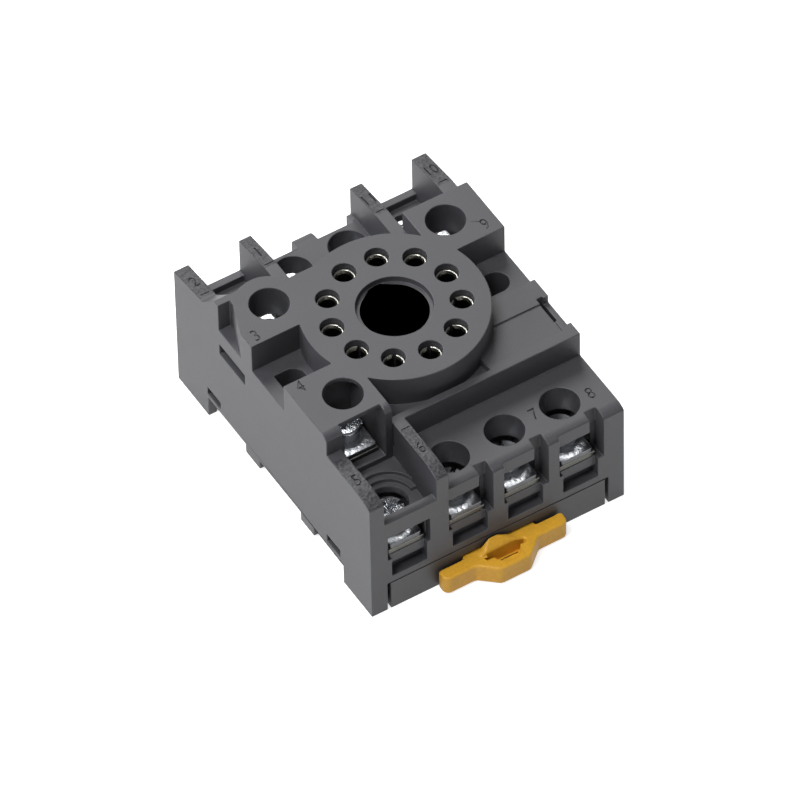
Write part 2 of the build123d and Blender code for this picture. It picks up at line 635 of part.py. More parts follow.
def clip_tab():
    """The handle of the rail clip outside the face, with its screwdriver slot and back rib."""
    back = NEAR_FACE_Y - CLIP_FACE_GAP
    wing = NEAR_FACE_Y - CLIP_WING_REACH
    front = NEAR_FACE_Y - CLIP_BULGE_REACH
    outline = FilletPolyline(
        (-CLIP_TAB_HALF_WIDTH, back),
        (-CLIP_TAB_HALF_WIDTH, wing),
        (-CLIP_BULGE_ROOT, wing),
        (-CLIP_BULGE_HALF_WIDTH, front),
        (CLIP_BULGE_HALF_WIDTH, front),
        (CLIP_BULGE_ROOT, wing),
        (CLIP_TAB_HALF_WIDTH, wing),
        (CLIP_TAB_HALF_WIDTH, back),
        radius=[CLIP_BACK_RADIUS, CLIP_END_RADIUS, CLIP_BEND_RADIUS, CLIP_BEND_RADIUS,
                CLIP_BEND_RADIUS, CLIP_BEND_RADIUS, CLIP_END_RADIUS, CLIP_BACK_RADIUS],
        close=True,
    )
    tab = Pos(0, 0, CLIP_BOTTOM_Z) * extrude(make_face(outline), amount=CLIP_TOP_Z - CLIP_BOTTOM_Z)
    front_view = Polyline((CLIP_BOSS_LEFT_X, CLIP_TOP_Z),
                          (CLIP_BOSS_LEFT_X + CLIP_BOSS_LEFT_SLOPE, CLIP_BOSS_TOP_Z),
                          (CLIP_BOSS_RIGHT_X - CLIP_BOSS_RIGHT_SLOPE, CLIP_BOSS_TOP_Z),
                          (CLIP_BOSS_RIGHT_X, CLIP_TOP_Z), close=True)
    side_view = Polyline((back, CLIP_TOP_Z), (back, CLIP_BOSS_TOP_Z), (back - CLIP_BOSS, CLIP_BOSS_FRONT_Z),
                         (back - CLIP_BOSS, CLIP_TOP_Z), close=True)
    tab += extrude(Plane.XZ.offset(-back) * make_face(front_view), amount=CLIP_BOSS) & side_slab(
        side_view, CLIP_BOSS_LEFT_X, CLIP_BOSS_RIGHT_X)
    top = CLIP_TOP_Z + CUT_OVERRUN
    half = CLIP_SLOT_LENGTH / 2
    width = CLIP_SLOT_WIDTH / 2
    slot_floor = CLIP_TOP_Z - CLIP_SLOT_DEPTH
    scoop_floor = CLIP_TOP_Z - CLIP_SCOOP_DEPTH
    scoop_front = CLIP_SLOT_Y - CLIP_SCOOP_RADIUS
    tab -= block(-half, half, CLIP_SLOT_Y - width, CLIP_SLOT_Y + width, slot_floor, top)
    tab -= post(0, CLIP_SLOT_Y, CLIP_SCOOP_RADIUS, scoop_floor, top) & block(
        -half, half, scoop_front, CLIP_SLOT_Y, scoop_floor, top)
    return tab


def rail_clip():
    """The sliding clip: handle, tongue with a spring window, runners and the rail hook."""
    back = NEAR_FACE_Y - CLIP_FACE_GAP
    hook_top = RAIL_SEAT_Z - RAIL_THICKNESS - RAIL_PLAY
    hook_tip = -RAIL_WIDTH / 2 + HOOK_OVERLAP
    shoulder = -RAIL_WIDTH / 2 - CLIP_SHOULDER_GAP
    clip = clip_tab()
    clip += block(-CLIP_HALF_WIDTH, CLIP_HALF_WIDTH, back, shoulder, CLIP_BOTTOM_Z, CLIP_TOP_Z)
    clip += block(-CLIP_HALF_WIDTH, CLIP_HALF_WIDTH, shoulder, hook_tip, hook_top - HOOK_THICKNESS, hook_top)
    for way in (-1, 1):
        xs = sorted((way * CLIP_HALF_WIDTH, way * (CLIP_HALF_WIDTH + CLIP_RUNNER)))
        clip += block(xs[0], xs[1], CLIP_RUNNER_START_Y, NEAR_FOOT_END_Y,
                      CLIP_RUNNER_Z, CLIP_RUNNER_Z + CLIP_RUNNER_HEIGHT)
    window_start = SPRING_FIXED_Y - LUG_LENGTH - CLIP_GAP
    clip -= block(-SPRING_WINDOW, SPRING_WINDOW, window_start, SPRING_FIXED_Y + SPRING_LENGTH,
                  CLIP_BOTTOM_Z - CUT_OVERRUN, CLIP_TOP_Z + CUT_OVERRUN)
    return clip


def clip_spring():
    """The coil spring between the base plate's lug and the end of the clip's window."""
    height = SPRING_LENGTH - 2 * SPRING_WIRE
    middle = (CLIP_BOTTOM_Z + CLIP_TOP_Z) / 2
    path = Helix(height / SPRING_TURNS, height, SPRING_RADIUS,
                 center=(0, SPRING_FIXED_Y + SPRING_WIRE, middle), direction=(0, 1, 0))
    wire = Plane(origin=path @ 0, z_dir=path % 0) * Circle(SPRING_WIRE)
    return sweep(wire, path=path)


def contact(number):
    """One stamped contact: screw plate, link, riser and the slit receptacle for a relay pin."""
    x, y, _ = TERMINALS[number]
    way = outward(number)
    rise = level(number)
    seat = SEAT_Z + rise
    pin_x, pin_y = pin_place(number)
    away = math.degrees(math.atan2(pin_y - y, pin_x - x))
    foot = min(seat, RECEPTACLE_BOTTOM_Z)
    tube = post(0, 0, RECEPTACLE_RADIUS, foot, RECEPTACLE_TOP_Z)
    tube -= block(0, RECEPTACLE_RADIUS, -RECEPTACLE_SLIT / 2, RECEPTACLE_SLIT / 2, foot, RECEPTACLE_TOP_Z)
    if foot < RECEPTACLE_BOTTOM_Z:
        tube -= block(-RISER_INSET, RECEPTACLE_RADIUS, -RECEPTACLE_RADIUS, RECEPTACLE_RADIUS,
                      foot, RECEPTACLE_BOTTOM_Z)
    ends = sorted((y + way * PLATE_FRONT, y - way * PLATE_REAR))
    solid = block(x - PLATE_WIDTH / 2, x + PLATE_WIDTH / 2, ends[0], ends[1], seat, seat + STRIP)
    solid += link_bar(number, LINK_WIDTH, seat, seat + STRIP)
    solid += Pos(pin_x, pin_y, 0) * Rot(0, 0, away) * tube
    bore_foot = foot - CUT_OVERRUN if rise else seat + STRIP
    solid -= post(pin_x, pin_y, RECEPTACLE_BORE, bore_foot, RECEPTACLE_TOP_Z)
    mouth = Cone(RECEPTACLE_BORE, RECEPTACLE_MOUTH, RECEPTACLE_LEAD)
    solid -= Pos(pin_x, pin_y, RECEPTACLE_TOP_Z - RECEPTACLE_LEAD / 2) * mouth
    solid -= post(x, y, SCREW_RADIUS + THREAD_CLEARANCE, seat - CUT_OVERRUN, seat + STRIP + CUT_OVERRUN)
    return solid


def clamp_plate(number):
    """The plate that a screw presses on the wire, reaching to the front of the contact."""
    x, y, _ = TERMINALS[number]
    length = CLAMP_FRONT + CLAMP_REAR
    middle = outward(number) * (CLAMP_FRONT - CLAMP_REAR) / 2
    face = Pos(0, middle) * RectangleRounded(CLAMP_WIDTH, length, CLAMP_CORNER)
    face -= Circle(SCREW_RADIUS + CLAMP_BORE_CLEARANCE)
    return Pos(x, y, SEAT_Z + level(number) + STRIP) * extrude(face, amount=CLAMP_THICKNESS)


def screw(number):
    """A terminal screw with a domed head, a cross recess and a slot right across."""
    x, y, _ = TERMINALS[number]
    head = post(0, 0, HEAD_RADIUS, 0, HEAD_HEIGHT)
    head = fillet(head.edges().sort_by(Axis.Z)[-1], HEAD_CROWN)
    shank = post(0, 0, SCREW_RADIUS, -SCREW_LENGTH, 0)
    shank = chamfer(shank.edges().sort_by(Axis.Z)[0], SCREW_TIP)
    floor = HEAD_HEIGHT - RECESS_DEPTH
    slot = RECESS_SLOT / 2
    solid = head + shank
    solid -= block(-HEAD_RADIUS, HEAD_RADIUS, -slot, slot, floor, HEAD_HEIGHT)
    solid -= block(-slot, slot, -RECESS_SPAN / 2, RECESS_SPAN / 2, floor, HEAD_HEIGHT)
    place = Pos(x, y, SEAT_Z + level(number) + STRIP + CLAMP_THICKNESS)
    return place * Rot(0, 0, SCREW_TWIST * number) * solid


def main():
    pieces = {
        "housing": housing(),
        "base_plate": base_plate(),
        "rail_clip": rail_clip(),
        "clip_spring": clip_spring(),
    }
    for number in TERMINALS:
        pieces[f"contact_{number}"] = contact(number)
        pieces[f"clamp_plate_{number}"] = clamp_plate(number)
        pieces[f"terminal_screw_{number}"] = screw(number)
    clip_end = NEAR_FACE_Y - CLIP_BULGE_REACH
    place = Pos(0, -(clip_end + FAR_FACE_Y) / 2, 0)
    os.makedirs("parts", exist_ok=True)
    for name, piece in pieces.items():
        export_step(place * piece, f"parts/{name}.step")


if __name__ == "__main__":
    main()
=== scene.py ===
"""Look of the eleven-pin relay socket: moulded body, zinc-plated terminals and a sliding rail clip.

Sizes are written in millimetres, in Y from the relay axis, as they are in the part's source. Only the
lamps and the floor, which stand round the part, are placed in metres from the frame's origin.
"""

import itertools
import math

import bmesh
import bpy
from mathutils import Matrix, Vector


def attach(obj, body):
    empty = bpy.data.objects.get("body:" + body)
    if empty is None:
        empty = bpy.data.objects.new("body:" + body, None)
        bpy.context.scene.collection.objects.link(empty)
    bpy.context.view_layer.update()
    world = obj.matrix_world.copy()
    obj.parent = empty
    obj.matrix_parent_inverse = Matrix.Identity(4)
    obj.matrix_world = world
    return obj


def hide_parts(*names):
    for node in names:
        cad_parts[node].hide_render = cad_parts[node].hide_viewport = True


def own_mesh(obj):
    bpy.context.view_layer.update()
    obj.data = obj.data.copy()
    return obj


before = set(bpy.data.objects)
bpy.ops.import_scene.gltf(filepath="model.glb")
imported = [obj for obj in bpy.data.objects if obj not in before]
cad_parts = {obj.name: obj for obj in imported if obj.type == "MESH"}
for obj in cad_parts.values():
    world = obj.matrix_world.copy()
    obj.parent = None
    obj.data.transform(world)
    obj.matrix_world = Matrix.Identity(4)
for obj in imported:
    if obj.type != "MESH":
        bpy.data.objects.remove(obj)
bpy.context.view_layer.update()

MM = 0.001
# The frame's origin is at the middle of the outline, and the relay axis lies this far beyond it
RELAY_AXIS_Y = 3.75

# Where the terminals stand, as in the part's source: each has its place in X and Y, and its level
NEAR_FACE_Y = -32.3
FAR_FACE_Y = 30.5
TERMINAL_INSET = 6.5
INNER_COLUMN = 5.45
THIRD_COLUMN = 16.35
OUTER_COLUMN = 17.4
UPPER_ROW = 11.8
TIER_STEP = 8.6
NEAR_ROW = NEAR_FACE_Y + TERMINAL_INSET
FAR_ROW = FAR_FACE_Y - TERMINAL_INSET
TERMINALS = {
    1: (-INNER_COLUMN, FAR_ROW, 0),
    2: (-OUTER_COLUMN, FAR_ROW, 0),
    3: (-OUTER_COLUMN, UPPER_ROW, 1),
    4: (-OUTER_COLUMN, -UPPER_ROW, 1),
    5: (-OUTER_COLUMN, NEAR_ROW, 0),
    6: (-INNER_COLUMN, NEAR_ROW, 0),
    7: (INNER_COLUMN, NEAR_ROW, 0),
    8: (THIRD_COLUMN, NEAR_ROW, 0),
    9: (OUTER_COLUMN, UPPER_ROW, 1),
    10: (OUTER_COLUMN, FAR_ROW, 0),
    11: (INNER_COLUMN, FAR_ROW, 0),
}
# The plane under the screw heads of the lower level, and how many degrees a head is turned further
# than that of the terminal before it
SCREW_SEAT_Z = 14.6
SCREW_TWIST = 37.0


def at(x, y, z):
    """A place in millimetres from the relay axis, as a vector in the frame."""
    return Vector((x, y + RELAY_AXIS_Y, z)) * MM


# Camera, solved from the photograph: it stands far off, so the view is almost parallel
CAMERA_PLACE = (-675.3, -1132.8, 1542.3)
CAMERA_FORWARD = Vector((0.33407, 0.55986, -0.75826))
CAMERA_RIGHT = Vector((0.84997, -0.52663, -0.01436))
CAMERA_LENS = 538.97
CAMERA_SENSOR = 36.0
CAMERA_REACH_METRES = 10.0


def set_camera():
    """Puts the camera where it took the photograph from."""
    forward = CAMERA_FORWARD.normalized()
    right = (CAMERA_RIGHT - forward * CAMERA_RIGHT.dot(forward)).normalized()
    up = right.cross(forward)
    turn = Matrix((right, up, -forward)).transposed().to_4x4()
    lens = bpy.data.cameras.new("photo_camera")
    lens.lens = CAMERA_LENS
    lens.sensor_width = CAMERA_SENSOR
    lens.clip_end = CAMERA_REACH_METRES
    holder = bpy.data.objects.new("photo_camera", lens)
    bpy.context.scene.collection.objects.link(holder)
    holder.matrix_world = Matrix.Translation(at(*CAMERA_PLACE)) @ turn
    bpy.context.scene.camera = holder


set_camera()


def colour(code):
    """An sRGB hex colour as linear red, green, blue and alpha."""
    channels = [int(code[i:i + 2], 16) / 255 for i in (1, 3, 5)]
    linear = [c / 12.92 if c <= 0.04045 else ((c + 0.055) / 1.055) ** 2.4 for c in channels]
    return (*linear, 1.0)


def add_node(tree, kind, settings=None, links=None):
    """Adds a node. Settings name its properties or inputs, links name its inputs and what feeds them."""
    node = tree.nodes.new(kind)
    for key, value in (settings or {}).items():
        if isinstance(key, str) and hasattr(node, key):
            setattr(node, key, value)
        else:
            node.inputs[key].default_value = value
    for key, source in (links or {}).items():
        tree.links.new(source, node.inputs[key])
    return node


def new_material(name):
    """An empty material and its node tree."""
    material = bpy.data.materials.new(name)
    material.use_nodes = True
    material.node_tree.nodes.clear()
    return material, material.node_tree


# The mark on faces that the mould left coarse, and how coarse: eroded steel leaves pits this wide and
# deep in millimetres
GRIT = "grit"
GRIT_SIZE = 0.45
GRIT_HEIGHT = 0.12
# The part of a noise's range in which its tone changes, by how much the grain darkens or lightens the
# plastic, and how far painted shade darkens the pits
NOISE_SPAN = {"From Min": 0.35, "From Max": 0.65}
GRAIN_SPAN = {"To Min": 0.94, "To Max": 1.06}
PIT_SHADE_SPAN = {"To Min": 0.2, "To Max": 1.0}
# How much rougher or smoother the plastic is from grain to grain, and how clearly its relief shows
GLOSS_SPREAD = 0.06
GRAIN_STRENGTH = 0.6
# How much smoother and rougher than the rest the marks on metal are, and how clearly their relief shows
MARK_GLOSS = 0.08
MARK_DULLNESS = 0.12
MARK_STRENGTH = 0.5
# Painted shade on metal: a face is darkened in full below the first share of facing up or down, and not at
# all from the second on
UPRIGHT_SHADE_SPAN = {"From Min": 0.2, "From Max": 0.6}


def per_metre(size_mm):
    """A texture scale whose features are about this many millimetres across."""
    return 1000.0 / size_mm


def moulded_plastic(name, tone, light_tone, roughness, grain_mm, grain_height, drift_mm=9.0):
    """Injection-moulded plastic: a slow drift of tone, an eroded-mould grain and uneven gloss.

    Faces that are marked as gritty, such as the tops of the fins, get a coarser and deeper grain, with
    painted shade in its pits.
    """
    material, tree = new_material(name)
    place = add_node(tree, "ShaderNodeTexCoord")
    grit = add_node(tree, "ShaderNodeAttribute", {"attribute_name": GRIT})
    drift = add_node(tree, "ShaderNodeTexNoise", {"Scale": per_metre(drift_mm), "Detail": 3.0},
                     {"Vector": place.outputs["Object"]})
    grain = add_node(tree, "ShaderNodeTexNoise", {"Scale": per_metre(grain_mm), "Detail": 2.0},
                     {"Vector": place.outputs["Object"]})
    coarse = add_node(tree, "ShaderNodeTexNoise", {"Scale": per_metre(GRIT_SIZE), "Detail": 2.0},
                      {"Vector": place.outputs["Object"]})
    tint = add_node(tree, "ShaderNodeMix", {"data_type": "RGBA", 6: colour(tone), 7: colour(light_tone)},
                    {0: drift.outputs["Fac"]})
    speck = add_node(tree, "ShaderNodeMapRange", NOISE_SPAN | GRAIN_SPAN, {"Value": grain.outputs["Fac"]})
    # Painted shade: the pits of the coarse grain are darkened
    pit_shade = add_node(tree, "ShaderNodeMapRange", NOISE_SPAN | PIT_SHADE_SPAN, {"Value": coarse.outputs["Fac"]})
    # The fine grain, or on gritty faces the pits with their painted shade
    marks = add_node(tree, "ShaderNodeMix", {"data_type": "FLOAT"},
                     {0: grit.outputs["Fac"], 2: speck.outputs["Result"], 3: pit_shade.outputs["Result"]})
    shade = add_node(tree, "ShaderNodeMix", {"data_type": "RGBA", "blend_type": "MULTIPLY", 0: 1.0},
                     {6: tint.outputs[2], 7: marks.outputs[0]})
    spread = {"To Min": roughness - GLOSS_SPREAD, "To Max": roughness + GLOSS_SPREAD}
    gloss = add_node(tree, "ShaderNodeMapRange", spread, {"Value": grain.outputs["Fac"]})
    relief = add_node(tree, "ShaderNodeBump", {"Strength": GRAIN_STRENGTH, "Distance": grain_height * MM},
                      {"Height": grain.outputs["Fac"]})
    pits = add_node(tree, "ShaderNodeBump", {"Distance": GRIT_HEIGHT * MM},
                    {"Strength": grit.outputs["Fac"], "Height": coarse.outputs["Fac"],
                     "Normal": relief.outputs["Normal"]})
    surface = add_node(tree, "ShaderNodeBsdfPrincipled", {"IOR": 1.5},
                       {"Base Color": shade.outputs[2], "Roughness": gloss.outputs["Result"],
                        "Normal": pits.outputs["Normal"]})
    add_node(tree, "ShaderNodeOutputMaterial", None, {"Surface": surface.outputs["BSDF"]})
    return material


def plated_metal(name, tone, dull_tone, roughness, mark_mm, mark_height=0.02, upright_shade=1.0):
    """Plated metal: bright, with faint tumbling marks that break up its reflections.

    Upright faces, such as the sheared edges of stamped strip, are darkened by painted shade to the given
    share of their colour.
    """
    material, tree = new_material(name)
    place = add_node(tree, "ShaderNodeTexCoord")
    marks = add_node(tree, "ShaderNodeTexNoise", {"Scale": per_metre(mark_mm), "Detail": 4.0},
                     {"Vector": place.outputs["Object"]})
    tint = add_node(tree, "ShaderNodeMix", {"data_type": "RGBA", 6: colour(tone), 7: colour(dull_tone)},
                    {0: marks.outputs["Fac"]})
    facing = add_node(tree, "ShaderNodeNewGeometry")
    upright = add_node(tree, "ShaderNodeSeparateXYZ", None, {"Vector": facing.outputs["Normal"]})
    flatness = add_node(tree, "ShaderNodeMath", {"operation": "ABSOLUTE"}, {0: upright.outputs["Z"]})
    # Painted shade: faces that stand upright are darkened by how little they face up or down
    painted_upright_shade = add_node(tree, "ShaderNodeMapRange", UPRIGHT_SHADE_SPAN | {"To Min": upright_shade, "To Max": 1.0},
                       {"Value": flatness.outputs[0]})
    shade = add_node(tree, "ShaderNodeMix", {"data_type": "RGBA", "blend_type": "MULTIPLY", 0: 1.0},
                     {6: tint.outputs[2], 7: painted_upright_shade.outputs["Result"]})
    spread = {"To Min": roughness - MARK_GLOSS, "To Max": roughness + MARK_DULLNESS}
    gloss = add_node(tree, "ShaderNodeMapRange", spread, {"Value": marks.outputs["Fac"]})
    relief = add_node(tree, "ShaderNodeBump", {"Strength": MARK_STRENGTH, "Distance": mark_height * MM},
                      {"Height": marks.outputs["Fac"]})
    surface = add_node(tree, "ShaderNodeBsdfPrincipled", {"Metallic": 1.0},
                       {"Base Color": shade.outputs[2], "Roughness": gloss.outputs["Result"],
                        "Normal": relief.outputs["Normal"]})
    add_node(tree, "ShaderNodeOutputMaterial", None, {"Surface": surface.outputs["BSDF"]})
    return material


# Glass-filled polyester, moulded in charcoal: a dull satin skin. Its real grit is 0.05 mm, too fine
# for the picture, so it is drawn at 0.35 mm
charcoal = moulded_plastic("polyester_moulded_charcoal", "#38383b", "#3f3f43", 0.5, 0.35, 0.02)
# The same plastic from a smoother mould, for the bottom cover
charcoal_smooth = moulded_plastic("polyester_moulded_charcoal_smooth", "#343437", "#3b3b3e", 0.46, 0.5,
                                  0.01)
# Acetal moulded in yellow ochre: waxy, as glossy as the body, with a fainter and wider grain
ochre = moulded_plastic("acetal_moulded_ochre", "#d09926", "#d9a42d", 0.5, 0.6, 0.01, 14.0)
# Steel, barrel zinc plated: bright and slightly blue. The marks of all metals are drawn coarser and
# deeper than the real ones, which are too fine for the picture
zinc = plated_metal("steel_zinc_plated", "#d3d5d8", "#a4a8ae", 0.22, 0.9, 0.16)
# The same plating on the stamped clamp plates, with painted shade on their upright faces
zinc_stamped = plated_metal("steel_zinc_plated_stamped", "#d3d5d8", "#a0a4aa", 0.28, 0.8, 0.2, 0.2)
# Brass strip, tin plated: a white metal, a little duller than zinc, with painted shade on its upright faces
tinned = plated_metal("brass_tin_plated", "#bfbdb6", "#9b9a92", 0.28, 0.9, 0.1, 0.2)
# Spring wire of steel, drawn and left bare
wire = plated_metal("steel_wire_drawn", "#9c9da0", "#85868a", 0.32, 0.4)


def link(name, mesh, body, material, slot, *nodes):
    """Makes a finished piece of a mesh: its material, its body and the CAD nodes it stands for."""
    piece = bpy.data.objects.new(name, mesh)
    bpy.context.scene.collection.objects.link(piece)
    mesh.materials.clear()
    mesh.materials.append(material)
    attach(piece, body)
    if nodes:
        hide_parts(*nodes)
    return piece


BEVEL_WEIGHT = "bevel_weight_edge"
SHARP_FROM = math.radians(35.0)
SMOOTH_UP_TO = math.radians(28.0)
# How strongly large faces set the shading of the roundings beside them
NORMAL_WEIGHT = 60
# Facets of the CAD this flat to each other become one face, and points this near become one point
FLAT_WITHIN = math.radians(0.4)
MERGE_WITHIN = 0.0005
# Two edges count as parallel from this cosine on, and a strip is narrow under this many roundings
STRAIGHT = 0.99
STRIP_SHARE = 2.5


def mark_sharp_edges(work, lowest=None):
    """Marks the edges to be rounded, all of them or only those that lie above a height."""
    weight = work.edges.layers.float.new(BEVEL_WEIGHT)
    for edge in work.edges:
        above = lowest is None or min(v.co.z for v in edge.verts) > lowest
        if above and len(edge.link_faces) == 2 and edge.calc_face_angle() > SHARP_FROM:
            edge[weight] = 1.0


def cad_copy(node):
    """A clean copy of a CAD node's mesh: its points merged and its flat faces made whole."""
    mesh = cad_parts[node].data.copy()
    work = bmesh.new()
    work.from_mesh(mesh)
    bmesh.ops.remove_doubles(work, verts=work.verts, dist=MERGE_WITHIN * MM)
    bmesh.ops.dissolve_limit(work, angle_limit=FLAT_WITHIN, verts=work.verts, edges=work.edges)
    mark_sharp_edges(work)
    work.to_mesh(mesh)
    work.free()
    return mesh


def finish_mesh(mesh, modifiers):
    """The mesh after these modifiers, given as (kind, settings)."""
    holder = bpy.data.objects.new("work", mesh)
    bpy.context.scene.collection.objects.link(holder)
    for kind, settings in modifiers:
        modifier = holder.modifiers.new(kind.lower(), kind)
        for key, value in settings.items():
            setattr(modifier, key, value)
    bpy.context.view_layer.update()
    graph = bpy.context.evaluated_depsgraph_get()
    made = bpy.data.meshes.new_from_object(holder.evaluated_get(graph))
    bpy.data.objects.remove(holder)
    return made


def cut_away(mesh, cutter):
    """The mesh without the space of another mesh."""
    tool = bpy.data.objects.new("cutter", cutter)
    bpy.context.scene.collection.objects.link(tool)
    made = finish_mesh(mesh, [("BOOLEAN", {"operation": "DIFFERENCE", "solver": "EXACT", "object": tool})])
    bpy.data.objects.remove(tool)
    return made


def direction(edge):
    """The way in which an edge runs."""
    return (edge.verts[1].co - edge.verts[0].co).normalized()


def strip_width(first, second):
    """The width of the strip between two parallel edges that lie side by side, or None."""
    along = direction(first)
    if abs(along.dot(direction(second))) < STRAIGHT:
        return None
    spans = [sorted(v.co.dot(along) for v in edge.verts) for edge in (first, second)]
    if min(spans[0][1], spans[1][1]) <= max(spans[0][0], spans[1][0]):
        return None
    gap = second.verts[0].co - first.verts[0].co
    return (gap - along * gap.dot(along)).length


def fit_narrow_strips(mesh, width):
    """Gives the edges of strips narrower than two roundings a smaller one, so that they don't cross."""
    work = bmesh.new()
    work.from_mesh(mesh)
    weight = work.edges.layers.float[BEVEL_WEIGHT]
    for face in work.faces:
        marked = [edge for edge in face.edges if edge[weight] > 0.0]
        for first, second in itertools.combinations(marked, 2):
            strip = strip_width(first, second)
            if strip is not None and strip < STRIP_SHARE * width:
                share = strip / (STRIP_SHARE * width)
                first[weight] = min(first[weight], share)
                second[weight] = min(second[weight], share)
    work.to_mesh(mesh)
    work.free()


def soften(mesh, width_mm, segments=2):
    """Rounds the marked edges of a mesh and keeps its flat faces flat to the eye."""
    fit_narrow_strips(mesh, width_mm * MM)
    bevel = {"width": width_mm * MM, "segments": segments, "limit_method": "WEIGHT",
             "use_clamp_overlap": False, "miter_outer": "MITER_ARC"}
    made = finish_mesh(mesh, [("BEVEL", bevel)])
    made.shade_smooth()
    made.set_sharp_from_angle(angle=SMOOTH_UP_TO)
    return finish_mesh(made, [("WEIGHTED_NORMAL", {"keep_sharp": True, "weight": NORMAL_WEIGHT})])


def bevelled_node(node, name, body, material, slot, width_mm, segments=2):
    """Makes a piece of a CAD node with its edges rounded, and the node it stands for."""
    return link(name, soften(cad_copy(node), width_mm, segments), body, material, slot, node)


# How far the edges of each kind of piece are rounded
BODY_ROUNDING = 0.16
COVER_ROUNDING = 0.15
CLIP_ROUNDING = 0.4
CONTACT_ROUNDING = 0.13
CLAMP_ROUNDING = 0.12
SCREW_ROUNDING = 0.09

# Terminal numbers moulded into the body: their height, the width of a figure as a share of it, and the
# depth over which the cutter spans the surface
NUMBER_HEIGHT = 2.5
NUMBER_WIDTH = 0.8
NUMBER_DEPTH = 0.28
CURVE_STEPS = 3
DECK_Z = 22.7
RIB_Z = 28.2
BLOCK_Z = 32.6
SIDE_FIN_X = 23.55
INNER_FIN_X = 11.0
FIN_NUMBER_Y = 26.2
# Fins beyond the far blocks: their tops fall from this place to that one, in Y and Z
FIN_START = (21.9, 28.6)
FIN_END = (30.5, 27.4)
FIN_LINE_Y = 22.6
RIB_LINE_Y = -20.6
RIB_X = -10.75
LINE_LENGTH = 1.7
LINE_WIDTH = 0.25
FIN_SLOPE = math.atan2(FIN_END[1] - FIN_START[1], FIN_END[0] - FIN_START[0])
# From this share on, a face's normal counts as pointing up, and faces this near count as at one height
FACING_UP = 0.9
SAME_HEIGHT = 0.1


def fin_top(y):
    """The height of a fin's sloping top."""
    return FIN_START[1] + (y - FIN_START[0]) * math.tan(FIN_SLOPE)


# The figure, its middle in X and Y, the height there and the slope
NUMBERS = [
    ("7", 11.47, -25.45, DECK_Z, 0.0),
    ("8", 21.84, -26.57, DECK_Z, 0.0),
    ("6", RIB_X, -25.48, RIB_Z, 0.0),
    ("5", -SIDE_FIN_X, -25.86, RIB_Z, 0.0),
    ("3", -23.06, 6.95, BLOCK_Z, 0.0),
    ("4", -22.61, -6.6, BLOCK_Z, 0.0),
    ("9", 22.49, 7.42, BLOCK_Z, 0.0),
]
FINS = {"2": -SIDE_FIN_X, "1": -INNER_FIN_X, "11": INNER_FIN_X, "10": SIDE_FIN_X}
for figure, fin_x in FINS.items():
    NUMBERS.append((figure, fin_x, FIN_NUMBER_Y, fin_top(FIN_NUMBER_Y), FIN_SLOPE))


def add_number(work, figure, x, y, z, slope):
    """Adds the cutter of one number to a mesh that is being built."""
    curve = bpy.data.curves.new("number", "FONT")
    curve.body = figure
    curve.align_x = "CENTER"
    curve.align_y = "CENTER"
    curve.extrude = 1.0
    curve.resolution_u = CURVE_STEPS
    holder = bpy.data.objects.new("number", curve)
    bpy.context.scene.collection.objects.link(holder)
    bpy.context.view_layer.update()
    flat = bpy.data.meshes.new_from_object(holder.evaluated_get(bpy.context.evaluated_depsgraph_get()))
    bpy.data.objects.remove(holder)
    corners = [v.co.copy() for v in flat.vertices]
    low = Vector([min(c[i] for c in corners) for i in range(3)])
    high = Vector([max(c[i] for c in corners) for i in range(3)])
    tall = NUMBER_HEIGHT * MM / (high.y - low.y)
    widest = NUMBER_HEIGHT * NUMBER_WIDTH * MM / (high.x - low.x)
    wide = min(tall * NUMBER_WIDTH, widest)
    shape = Matrix.Diagonal((wide, tall, NUMBER_DEPTH * MM, 1.0)) @ Matrix.Translation(-(low + high) / 2)
    flat.transform(Matrix.Translation(at(x, y, z)) @ Matrix.Rotation(slope, 4, "X") @ shape)
    work.from_mesh(flat)
    bpy.data.meshes.remove(flat)


def add_line(work, x, y, z, slope):
    """Adds the cutter of a short line across a rib or a fin."""
    size = Matrix.Diagonal((LINE_LENGTH * MM, LINE_WIDTH * MM, NUMBER_DEPTH * MM, 1.0))
    place = Matrix.Translation(at(x, y, z)) @ Matrix.Rotation(slope, 4, "X")
    bmesh.ops.create_cube(work, size=1.0, matrix=place @ size)


def split_rib_top(mesh):
    """Parts the near rib's top along its line, where its coarse face ends."""
    work = bmesh.new()
    work.from_mesh(mesh)
    line = at(0, RIB_LINE_Y, 0)
    parts = {}
    for face in work.faces:
        ys = [v.co.y for v in face.verts]
        at_rib_height = abs(face.calc_center_median().z - RIB_Z * MM) < SAME_HEIGHT * MM
        if face.normal.z > FACING_UP and at_rib_height and min(ys) < line.y < max(ys):
            parts.update(dict.fromkeys([face, *face.edges, *face.verts]))
    bmesh.ops.bisect_plane(work, geom=list(parts), plane_co=line, plane_no=(0.0, 1.0, 0.0))
    work.to_mesh(mesh)
    work.free()
    return mesh


def engraving():
    """The cutter of every number and line in the top of the body."""
    work = bmesh.new()
    for number in NUMBERS:
        add_number(work, *number)
    for fin_x in FINS.values():
        add_line(work, fin_x, FIN_LINE_Y, fin_top(FIN_LINE_Y), FIN_SLOPE)
    add_line(work, RIB_X, RIB_LINE_Y, RIB_Z, 0.0)
    bmesh.ops.remove_doubles(work, verts=work.verts, dist=MERGE_WITHIN * MM)
    bmesh.ops.recalc_face_normals(work, faces=work.faces)
    mesh = bpy.data.meshes.new("engraving")
    work.to_mesh(mesh)
    work.free()
    return mesh


# Where the mould is coarse, in X and Y from the relay axis: the tops of the fins and of the near ribs
GRITTY_X = ((-25.2, -21.9), (-12.4, -9.4), (9.7, 12.4), (21.9, 25.2))
GRITTY_Y = ((21.9, 31.0), (-33.0, RIB_LINE_Y))
GRITTY_ABOVE = 26.5


